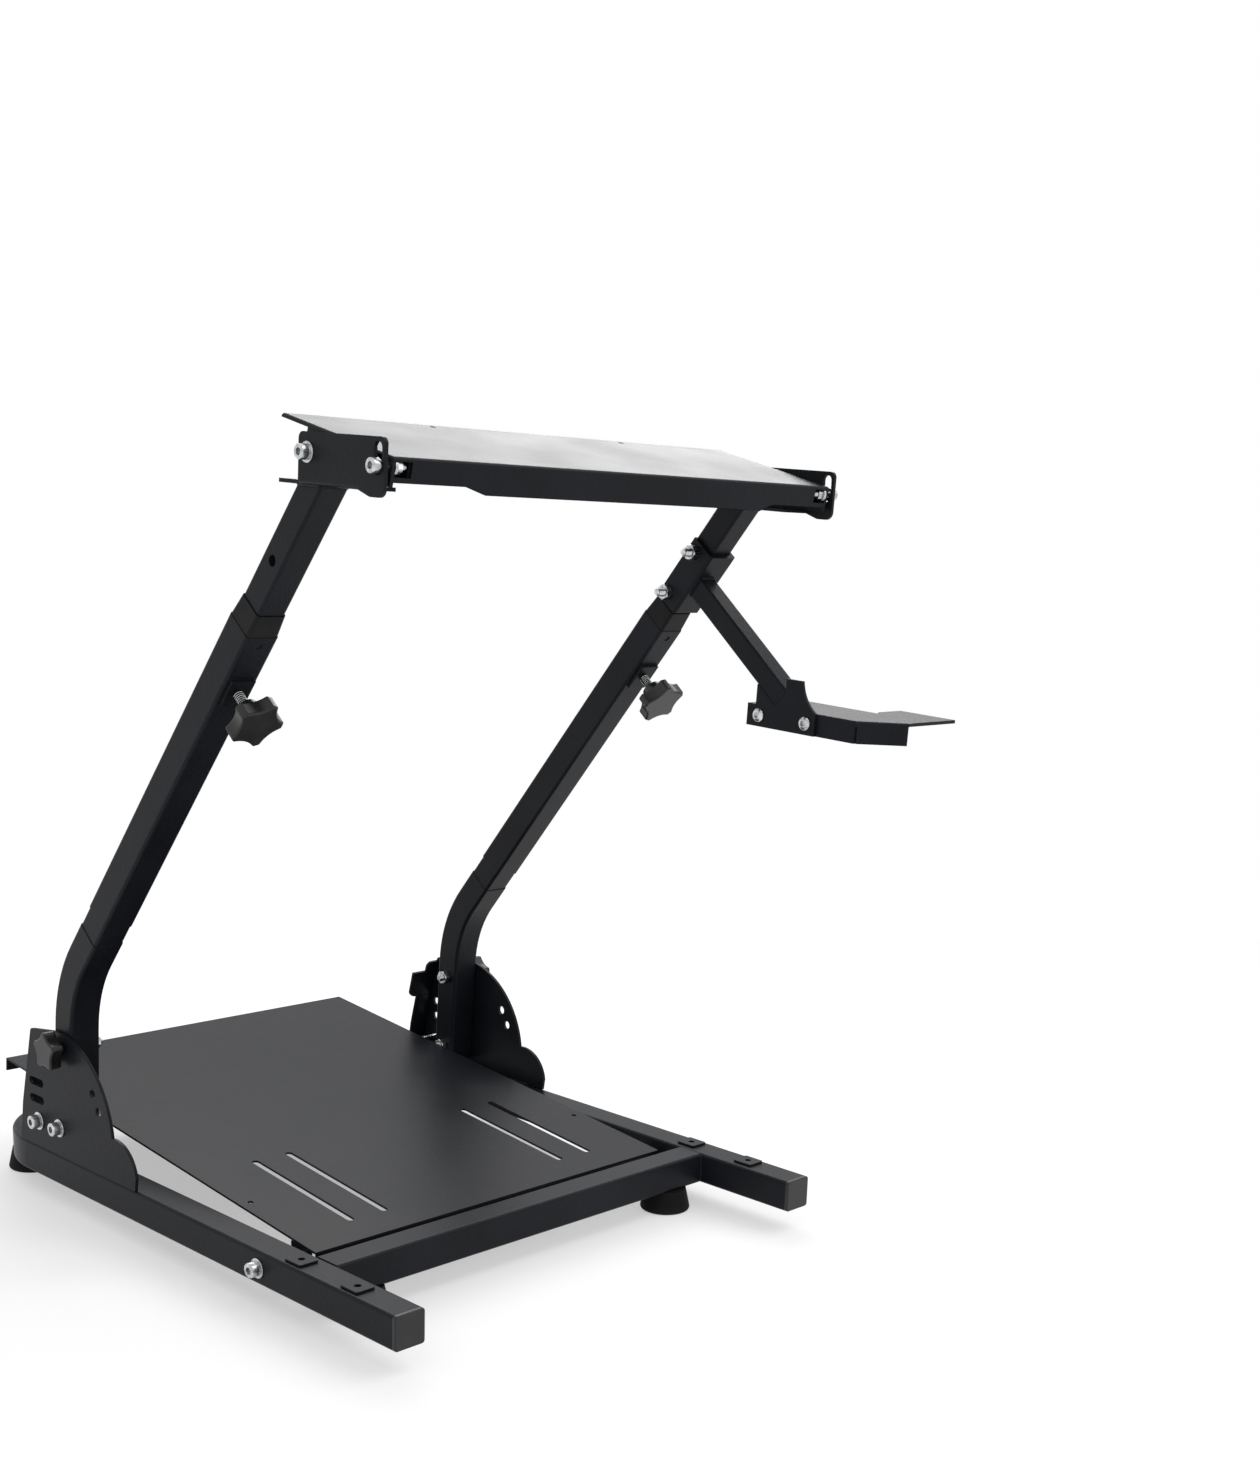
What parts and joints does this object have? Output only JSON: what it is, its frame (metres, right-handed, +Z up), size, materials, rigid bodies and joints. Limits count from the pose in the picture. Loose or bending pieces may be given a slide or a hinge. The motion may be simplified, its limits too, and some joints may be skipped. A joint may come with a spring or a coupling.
{
  "type": "racing wheel stand",
  "caption": "Folding tube stand that holds a game steering wheel, pedals and a gear shifter in front of a seated driver.",
  "frame": {"origin": "on the floor under the middle of the whole stand's box", "axes": "+X to the driver's right, +Y away from the driver along the rails, +Z up"},
  "size_m": [0.5976, 0.759, 0.7205],
  "materials": {
    "coated": "fine-textured satin black powder coat",
    "moulded": "moulded black plastic",
    "rubber": "matt black rubber",
    "zinc": "bright zinc plate"
  },
  "bodies": {
    "base": {"base_frame": "coated", "crossbar": "coated", "fold_pin_left": "zinc", "fold_pin_right": "zinc", "foot_front_left": "rubber", "foot_front_right": "rubber", "foot_rear_left": "rubber", "foot_rear_right": "rubber", "lock_knob_left": "moulded", "lock_knob_right": "moulded", "pedal_pin_left": "zinc", "pedal_pin_right": "zinc", "rail_cap_left": "moulded", "rail_cap_right": "moulded", "side_plate_left": "coated", "side_plate_right": "coated", "tab_front_left": "coated", "tab_front_right": "coated", "tab_rear_left": "coated", "tab_rear_right": "coated"},
    "uprights": {"height_knob_left": "moulded", "height_knob_right": "moulded", "lower_tube_left": "coated", "lower_tube_right": "coated", "sleeve_left": "moulded", "sleeve_right": "moulded"},
    "uppers": {"bracket_left": "coated", "bracket_right": "coated", "gusset_inner": "coated", "shifter_arm": "coated", "shifter_plate": "coated", "shifter_saddle": "coated", "tilt_pin_left": "zinc", "tilt_pin_right": "zinc", "upper_tube_left": "coated", "upper_tube_right": "coated"},
    "wheel_tray": {"wheel_plate": "coated"},
    "pedal_tray": {"pedal_plate": "coated"}
  },
  "joints": [
    {"name": "fold", "type": "hinge", "parent": "base", "child": "uprights", "pos_m": [-0.03275, 0.19712, 0.08], "axis": [1, 0, 0], "range_deg": [0, 34]},
    {"name": "height", "type": "slide", "parent": "uprights", "child": "uppers", "axis": [0, -0.6481, 0.7615], "range_m": [0, 0.09]},
    {"name": "wheel_tilt", "type": "hinge", "parent": "uppers", "child": "wheel_tray", "pos_m": [-0.03275, -0.20237, 0.692], "axis": [-1, 0, 0], "range_deg": [0, 8]},
    {"name": "pedal_tilt", "type": "hinge", "parent": "base", "child": "pedal_tray", "pos_m": [-0.03275, -0.12288, 0.037], "axis": [1, 0, 0], "range_deg": [0, 5.5]}
  ]
}
